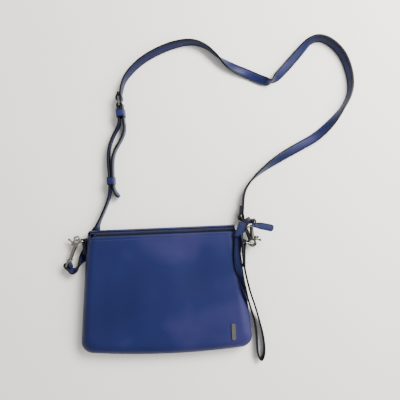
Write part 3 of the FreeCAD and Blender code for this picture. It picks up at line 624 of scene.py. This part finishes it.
def filled_top(ring):
    """Rows of points that fill a ring like a stretched sheet, between the middles of its corner arcs."""
    count, middle = len(ring), ARC_STEPS // 2
    tall, wide = RUNS[0] + ARC_STEPS, RUNS[1] + ARC_STEPS

    def at(k):
        return ring[(middle + k) % count]

    right = [at(k) for k in range(tall + 1)]
    top = [at(tall + wide - k) for k in range(wide + 1)]
    left = [at(2 * tall + wide - k) for k in range(tall + 1)]
    base = [at(2 * tall + wide + k) for k in range(wide + 1)]
    rows = []
    for j in range(tall + 1):
        v = j / tall
        row = []
        for i in range(wide + 1):
            u = i / wide
            mixed = (base[i] * (1 - v) + top[i] * v + left[j] * (1 - u) + right[j] * u
                     - (base[0] * (1 - u) + base[-1] * u) * (1 - v) - (top[0] * (1 - u) + top[-1] * u) * v)
            row.append(mixed)
        rows.append(row)
    return rows


def settle(place):
    """Softens the crisp form: a bowed base, shallow hollows, and long faint folds down the front."""
    x, y, z = place
    low = max(0.0, min(1.0, -y / 70.0)) ** 2
    y += (-3.2 + 5.0 * (x / 100.0) ** 2) * low
    waist = 1 - min(1.0, abs(y) / 82.0) ** 2
    x += (1.0 if x > 0 else -1.0) * min(1.0, abs(x) / 90.0) ** 4 * (0.9 * waist - 0.5)
    if z > SEAM_Z:
        near_side = max(0.0, min(1.0, (half_width(y) - 3 - abs(x)) / 26.0))
        near_end = max(0.0, min(1.0, (y + 76) / 22.0)) * max(0.0, min(1.0, (68 - y) / 16.0))
        free = near_side * near_end
        wave = noise.noise(Vector((x / 34.0, y / 120.0, 3.1)))
        dimple = noise.noise(Vector((x / 58.0, y / 52.0, 8.4)))
        hollow = (math.exp(-((x + 52) / 34.0) ** 2 - ((y + 34) / 24.0) ** 2)
                  + 0.7 * math.exp(-((x - 58) / 26.0) ** 2 - ((y - 6) / 40.0) ** 2))
        z += free * (1.1 * wave + 1.4 * dimple - 1.2 * hollow - 0.4)
    return Vector((x, y, z))


def pouch_shell():
    """Whole leather shell of the pouch, still closed where the zip will lie, as one mesh in building."""
    built = bmesh.new()
    rings = []
    for step in range(9):
        t = math.radians(90 * (1 - step / 8))
        inset = FOOT_INSET * (1 - math.cos(t))
        rings.append(outline_ring(SEAM_Z - SEAM_Z * math.sin(t), inset, inset, CORNER_LIFT * math.sin(t)))
    for step in range(1, 11):
        t = math.radians(90 * step / 10)
        share = 1 - math.cos(t)
        rings.append(outline_ring(SEAM_Z + (DEPTH - SEAM_Z) * math.sin(t), CROWN_INSET * share,
                                  CROWN_TOP_INSET * share, 0))
    made = [[built.verts.new(settle(p)) for p in ring] for ring in rings]
    count = len(made[0])
    for first, second in zip(made, made[1:]):
        for k in range(count):
            m = (k + 1) % count
            built.faces.new((first[k], first[m], second[m], second[k]))
    tall, wide, middle = RUNS[0] + ARC_STEPS, RUNS[1] + ARC_STEPS, ARC_STEPS // 2
    for ring, points in ((made[0], rings[0]), (made[-1], rings[-1])):
        rows = filled_top(points)
        grid = [[None] * (wide + 1) for _ in range(tall + 1)]
        for j in range(tall + 1):
            for i in range(wide + 1):
                if i == wide:
                    grid[j][i] = ring[(middle + j) % count]
                elif j == tall:
                    grid[j][i] = ring[(middle + tall + wide - i) % count]
                elif i == 0:
                    grid[j][i] = ring[(middle + 2 * tall + wide - j) % count]
                elif j == 0:
                    grid[j][i] = ring[(middle + 2 * tall + wide + i) % count]
                else:
                    grid[j][i] = built.verts.new(settle(rows[j][i]))
        for j in range(tall):
            for i in range(wide):
                corners = (grid[j][i], grid[j][i + 1], grid[j + 1][i + 1], grid[j + 1][i])
                built.faces.new(corners if ring is made[-1] else corners[::-1])
    return built


def cut_for_zip(built):
    """Slices the crown off along the zip's plane and leaves a narrow turned-in edge each side of the slot."""
    everything = built.verts[:] + built.edges[:] + built.faces[:]
    bmesh.ops.bisect_plane(built, geom=everything, plane_co=ZIP_MIDDLE, plane_no=ZIP_OUT, clear_outer=True)
    rim = [e for e in built.edges if e.is_boundary]
    bmesh.ops.contextual_create(built, geom=rim)
    for across in (-MOUTH_HALF, MOUTH_HALF):
        wall = [f for f in built.faces if abs(f.normal.dot(ZIP_OUT)) > 0.99
                and abs((f.calc_center_median() - ZIP_MIDDLE).dot(ZIP_OUT)) < 0.05]
        parts = set(wall) | {e for f in wall for e in f.edges} | {v for f in wall for v in f.verts}
        bmesh.ops.bisect_plane(built, geom=list(parts), plane_co=ZIP_MIDDLE + ZIP_ACROSS * across,
                               plane_no=ZIP_ACROSS)
    wall = [f for f in built.faces if abs((f.calc_center_median() - ZIP_MIDDLE).dot(ZIP_OUT)) < 0.05
            and abs((f.calc_center_median() - ZIP_MIDDLE).dot(ZIP_ACROSS)) < MOUTH_HALF - 0.1]
    bmesh.ops.delete(built, geom=wall, context="FACES_ONLY")
    everything = built.verts[:] + built.edges[:] + built.faces[:]
    bmesh.ops.bisect_plane(built, geom=everything, plane_co=Vector((0, ZIP_MIDDLE.y, 0)), plane_no=Vector((0, 1, 0)))
    return built


def panel(name, node, whole, is_mine, thick, material):
    """One skin of the pouch: the faces that belong to it, given a wall and soft edges."""
    built = whole.copy()
    others = [f for f in built.faces if not is_mine(f.calc_center_median())]
    bmesh.ops.delete(built, geom=others, context="FACES")
    mesh_data = bpy.data.meshes.new(name)
    bmesh.ops.scale(built, vec=(MM, MM, MM), verts=built.verts)
    bmesh.ops.recalc_face_normals(built, faces=built.faces)
    if sum(f.normal.dot(f.calc_center_median() - Vector((0, 0, 0.012))) * f.calc_area() for f in built.faces) < 0:
        bmesh.ops.reverse_faces(built, faces=built.faces)
    built.to_mesh(mesh_data)
    built.free()
    made = as_object(name, mesh_data)
    apply_modifier(made, "SOLIDIFY", thickness=thick * MM, offset=-1.0, use_even_offset=True, thickness_clamp=1.5)
    apply_modifier(made, "BEVEL", width=0.5 * MM, segments=2, limit_method="ANGLE", angle_limit=math.radians(48))
    smooth(made, 50)
    dress(made, material, "bag")
    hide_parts(node)


def on_the_back(centre):
    return centre.z < SEAM_Z or (centre.y > ZIP_MIDDLE.y and centre.z < ZIP_MIDDLE.z)


shell = cut_for_zip(pouch_shell())
panel("front_panel_leather", "front_panel", shell, lambda c: not on_the_back(c), LEATHER, bag_leather)
panel("back_panel_leather", "back_panel", shell, on_the_back, LEATHER, bag_leather)
for vert in shell.verts:
    vert.co.x *= 1 - LINING_INSET / max(LINING_CORE, abs(vert.co.x))
    vert.co.y *= 1 - LINING_INSET / max(LINING_CORE, abs(vert.co.y))
    vert.co.z = LINING_FLOOR + vert.co.z * (DEPTH - LINING_FLATTER) / DEPTH
panel("front_lining_cloth", "lining_front", shell, lambda c: not on_the_back(c), LINING, lining_cloth)
panel("back_lining_cloth", "lining_back", shell, on_the_back, LINING, lining_cloth)
shell.free()


def start_grid(name, columns, rows):
    """A flat unit grid, from which a strip or patch is shaped."""
    bpy.ops.object.select_all(action="DESELECT")
    bpy.ops.mesh.primitive_grid_add(x_subdivisions=columns, y_subdivisions=rows, size=1)
    made = bpy.context.object
    made.name = name
    return made


pocket_low, pocket_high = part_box("slip_pocket")
pocket = start_grid("slip_pocket_cloth", 44, 28)
for vert in pocket.data.vertices:
    u, v = vert.co.x, vert.co.y
    vert.co = Vector(((pocket_low.x + pocket_high.x) / 2 + u * (pocket_high.x - pocket_low.x),
                      (pocket_low.y + pocket_high.y) / 2 + v * (pocket_high.y - pocket_low.y),
                      pocket_low.z + (0.35 + 0.25 * math.cos(9 * u) * (v + 0.5)) * MM))
apply_modifier(pocket, "SOLIDIFY", thickness=0.5 * MM, offset=0.0)
apply_modifier(pocket, "BEVEL", width=0.15 * MM, segments=2, limit_method="ANGLE")
smooth(pocket)
dress(pocket, lining_cloth, "bag")
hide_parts("slip_pocket")


# ---------------------------------------------------------------- zip

def in_wall(x, across, out):
    return (ZIP_MIDDLE + Vector((x, 0, 0)) + ZIP_ACROSS * across + ZIP_OUT * out) * MM


TAPE_WIDTH, TAPE_THICK, TAPE_START, TAPE_OUT = 5.1, 0.45, 0.3, -1.85
for side, node in ((-1, "zip_tape_back"), (1, "zip_tape_front")):
    tape = start_grid(node + "_weave", 96, 6)
    for vert in tape.data.vertices:
        u, v = vert.co.x + 0.5, vert.co.y + 0.5
        ripple = 0.06 * math.sin(60 * u)
        vert.co = in_wall(ZIP_LEFT - 1.5 + u * (ZIP_RIGHT - ZIP_LEFT + 1.5), side * (TAPE_START + v * TAPE_WIDTH),
                          TAPE_OUT + ripple)
    apply_modifier(tape, "SOLIDIFY", thickness=TAPE_THICK * MM, offset=0.0)
    smooth(tape)
    dress(tape, tape_cloth, "bag")
    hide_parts(node)

TOOTH_PITCH, TOOTH_SIZE, COIL_LEFT, COIL_OUT, SLIDER_ROOM = 1.5, (0.95, 2.5, 1.15), -83, -0.55, 5.5
for side, node in ((-1, "zip_coil_back"), (1, "zip_coil_front")):
    bpy.ops.object.select_all(action="DESELECT")
    bpy.ops.mesh.primitive_cube_add(size=1)
    tooth = bpy.context.object
    tooth.name = node + "_teeth"
    bpy.ops.object.mode_set(mode="EDIT")
    bpy.ops.mesh.select_all(action="SELECT")
    bpy.ops.transform.resize(value=TOOTH_SIZE)
    bpy.ops.mesh.bevel(offset=0.32, segments=2)
    bpy.ops.object.mode_set(mode="OBJECT")
    slant = side * 0.28
    for vert in tooth.data.vertices:
        x, y, z = vert.co
        vert.co = Vector((x + slant * y + side * 0.35, y * 0.92 + side * 1.0, z - 0.35 * (y * side + 1.0) * 0.5))
    apply_modifier(tooth, "ARRAY", use_relative_offset=False, use_constant_offset=True,
                   constant_offset_displace=(TOOTH_PITCH, 0, 0),
                   count=int((SLIDER_X - SLIDER_ROOM - COIL_LEFT) / TOOTH_PITCH))
    for vert in tooth.data.vertices:
        x, y, z = vert.co
        vert.co = in_wall(COIL_LEFT + x, y, z + COIL_OUT)
    smooth(tooth, 60)
    dress(tooth, coil_nylon, "bag")
    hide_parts(node)


def stitch_row(name, start, end, pitch=3.2, radius=0.26):
    """Row of sunk thread stitches between two points that lie on the leather, facing up."""
    bpy.ops.object.select_all(action="DESELECT")
    bpy.ops.mesh.primitive_cylinder_add(vertices=8, radius=radius, depth=pitch * 0.72)
    bead = bpy.context.object
    bead.name = name
    bpy.ops.object.mode_set(mode="EDIT")
    bpy.ops.mesh.select_all(action="SELECT")
    bpy.ops.mesh.bevel(offset=radius * 0.45, segments=1)
    bpy.ops.object.mode_set(mode="OBJECT")
    for vert in bead.data.vertices:
        x, y, z = vert.co
        vert.co = Vector((z, y, x - (z / pitch) ** 2 * 0.5))
    apply_modifier(bead, "ARRAY", use_relative_offset=False, use_constant_offset=True,
                   constant_offset_displace=(pitch, 0, 0), count=int((end - start).length / pitch))
    along = (end - start).normalized()
    for vert in bead.data.vertices:
        x, y, z = vert.co
        vert.co = (start + along * x + Vector((0, y, 0)) + Vector((0, 0, z))) * MM
    smooth(bead, 60)
    return bead


front_row = stitch_row("front_edge_stitches", Vector((-90, SEAM_ROW_Y, SEAM_ROW_Z)),
                       Vector((88, SEAM_ROW_Y, SEAM_ROW_Z)))
dress(front_row, thread_cloth, "bag")


# ---------------------------------------------------------------- leather tabs and pull

# The pull's own direction along it, and the place it starts from.
droop = math.radians(PULL_DROOP)
pull_along = Vector((math.cos(droop), 0, 0)) - ZIP_OUT * math.sin(droop)
pull_start = in_wall(PULL_HINGE_X, 0, PULL_OUT)


PULL_WIDTH, PULL_THICK = 9.0, 1.9


def tongue_width(s):
    """Half-width factor of the zip pull along its length in millimetres."""
    swell = 0.62 + 0.38 * min(1.0, max(0.0, (s - 1.0) / 9.0)) ** 0.8
    end = max(0.0, (s - 21.2) / 3.8)
    return swell * math.sqrt(max(0.04, 1 - min(1.0, end) ** 2))


line, sides = [], []
for k in range(41):
    share = k / 40
    fall = ZIP_ACROSS * (8.6 * share ** 1.3) + ZIP_OUT * (1.6 * share)
    line.append(pull_start + (pull_along * (-1.1 + 25.9 * share) + fall) * MM)
    sides.append((ZIP_ACROSS + Vector((0.2, -0.6, -0.3)) * min(1.0, k / 14)).normalized())
pull, _ = band("zip_pull_tongue", line, sides, PULL_WIDTH, PULL_THICK, shape=lambda s: tongue_width(0.94 * s - 1.1))
dress(pull, pull_leather, "zip_pull")
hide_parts("zip_pull_leather")

aim = Vector((RIGHT_BOW.x - WRIST_EYE.x, RIGHT_BOW.y - WRIST_EYE.y, 0)).normalized()
across_bar = Vector((-aim.y, aim.x, 0))
BAR_ROOM = 2.5


def around_bar(turn, height=0.0):
    """A place beside the wrist clasp's bar: turn 0 is behind it, 90 under it, 180 in front."""
    a = math.radians(turn)
    place = WRIST_EYE - aim * (BAR_ROOM * math.cos(a)) - UP * (BAR_ROOM * math.sin(a))
    return (place.x, place.y, place.z + height)


inner_route = [(101.0, 80.5, 28.4), (105.0, 84.5, 28.6), (110.5, 88.2, 28.4)]
inner_route += [around_bar(0, rise) for rise in (12.0, 7.0, 2.0)] + [around_bar(turn) for turn in (20, 65, 110, 160)]
inner_route += [around_bar(180, rise) for rise in (3.0, 6.5)]
slant = Vector((0.62, -0.78, 0)).normalized()
inner_sides = [slant, slant, (slant + across_bar).normalized()] + [across_bar] * 9
line = lie_along(inner_route, 10)
sides = [(inner_sides[c] * (1 - share) + inner_sides[c + 1] * share).normalized()
         for c, share in control_shares(len(inner_route), len(line))]
hanger, _ = band("wrist_tab_hanger", line, sides, 8.6, 1.4)
dress(hanger, dark_leather, "bag")
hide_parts("wrist_tab")

tab_route = [(96.0, 68.2, 29.6), (97.4, 72.6, 30.0), (99.4, 78.6, 30.3), (100.8, 82.6, 30.3), (101.8, 85.6, 30.0)]
line = lie_along(tab_route, 14)
tab_side = Vector((0.985, -0.16, 0)).normalized()
tab, _ = band("wrist_tab_leather", line, [tab_side] * len(line), 9.6, 2.0)
dress(tab, tab_leather, "bag")
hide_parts("wrist_tab")

TAB_Z, TAB_WIDTH, TAB_THICK = 11.9, 11.4, 1.5
for tag, bar_at, foot_at in (("left", (-100.5, 69), (-100.6, 52.5)), ("right", (104.8, 59.5), (103.4, 27.5))):
    bar, foot = Vector((*bar_at, TAB_Z)), Vector((*foot_at, TAB_Z))
    away = foot - bar
    route = turn_round(bar, away, away.length, TAB_THICK, height=TAB_Z, gap=0.02)
    ahead = away.normalized()
    side = Vector((-ahead.y, ahead.x, 0))
    end = bar + ahead * away.length - side * 0.8
    route.append((end.x, end.y, TAB_Z, 0))
    side_tab, line, _ = strap(tag + "_side_tab_leather", route, TAB_WIDTH, TAB_THICK, floor=None)
    dress(side_tab, dark_leather, "bag")
    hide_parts(tag + "_side_tab")


# ---------------------------------------------------------------- carried-over hardware

for node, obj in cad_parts.items():
    if obj.hide_render:
        continue
    finish = nickel
    if "spring" in node or "pin" in node:
        finish = spring_steel
    elif node == "zip_stops":
        finish = coil_nylon
    # The right and wrist clasps get the nickel copy that is darkened as painted shade.
    elif node.startswith(("right_clasp", "wrist_clasp")):
        finish = shaded_nickel
    for material_slot in obj.material_slots:
        material_slot.material = finish


# ---------------------------------------------------------------- stage, light and camera

def table_top():
    bpy.ops.object.select_all(action="DESELECT")
    bpy.ops.mesh.primitive_plane_add(size=4.0, location=(0.05, 0.1, 0))
    floor = bpy.context.object
    floor.name = "table_top"
    finish = Finish("table paint")
    speck = finish.add("ShaderNodeTexNoise", Scale=6.0, Detail=2.0)
    finish.link(finish.place(), speck.inputs["Vector"])
    tone = mix_colour(finish.tree, speck.outputs[0], (0.86, 0.845, 0.79, 1), (0.92, 0.905, 0.85, 1))
    finish.link(tone, finish.shader.inputs["Base Color"])
    finish.shader.inputs["Roughness"].default_value = 0.55
    floor.data.materials.append(finish.material)


def soft_light(name, place, size, power, aim=(0, 0.05, 0), colour=(1, 1, 1)):
    lamp = bpy.data.lights.new(name, "AREA")
    lamp.shape = "RECTANGLE"
    lamp.size, lamp.size_y = size
    lamp.energy = power
    lamp.color = colour
    made = bpy.data.objects.new(name, lamp)
    bpy.context.scene.collection.objects.link(made)
    made.location = place
    made.rotation_euler = (Vector(aim) - Vector(place)).to_track_quat("-Z", "Y").to_euler()


table_top()
world = bpy.data.worlds.new("room")
world.use_nodes = True
world.node_tree.nodes["Background"].inputs[0].default_value = (0.95, 0.955, 0.96, 1)
world.node_tree.nodes["Background"].inputs[1].default_value = 0.62
bpy.context.scene.world = world
soft_light("ceiling panel", (0.75, 0.75, 0.95), (0.7, 0.5), 46, colour=(1.0, 0.985, 0.95))
soft_light("window", (1.3, 0.0, 0.9), (0.8, 0.8), 16, colour=(0.97, 0.985, 1.0))

camera = bpy.data.cameras.new("overhead")
camera.lens, camera.sensor_width = 36.0, 36.0
overhead = bpy.data.objects.new("overhead", camera)
bpy.context.scene.collection.objects.link(overhead)
overhead.location = (0.0502, 0.1156, 0.528)
overhead.rotation_euler = (0, 0, math.radians(-2.4))
bpy.context.scene.camera = overhead
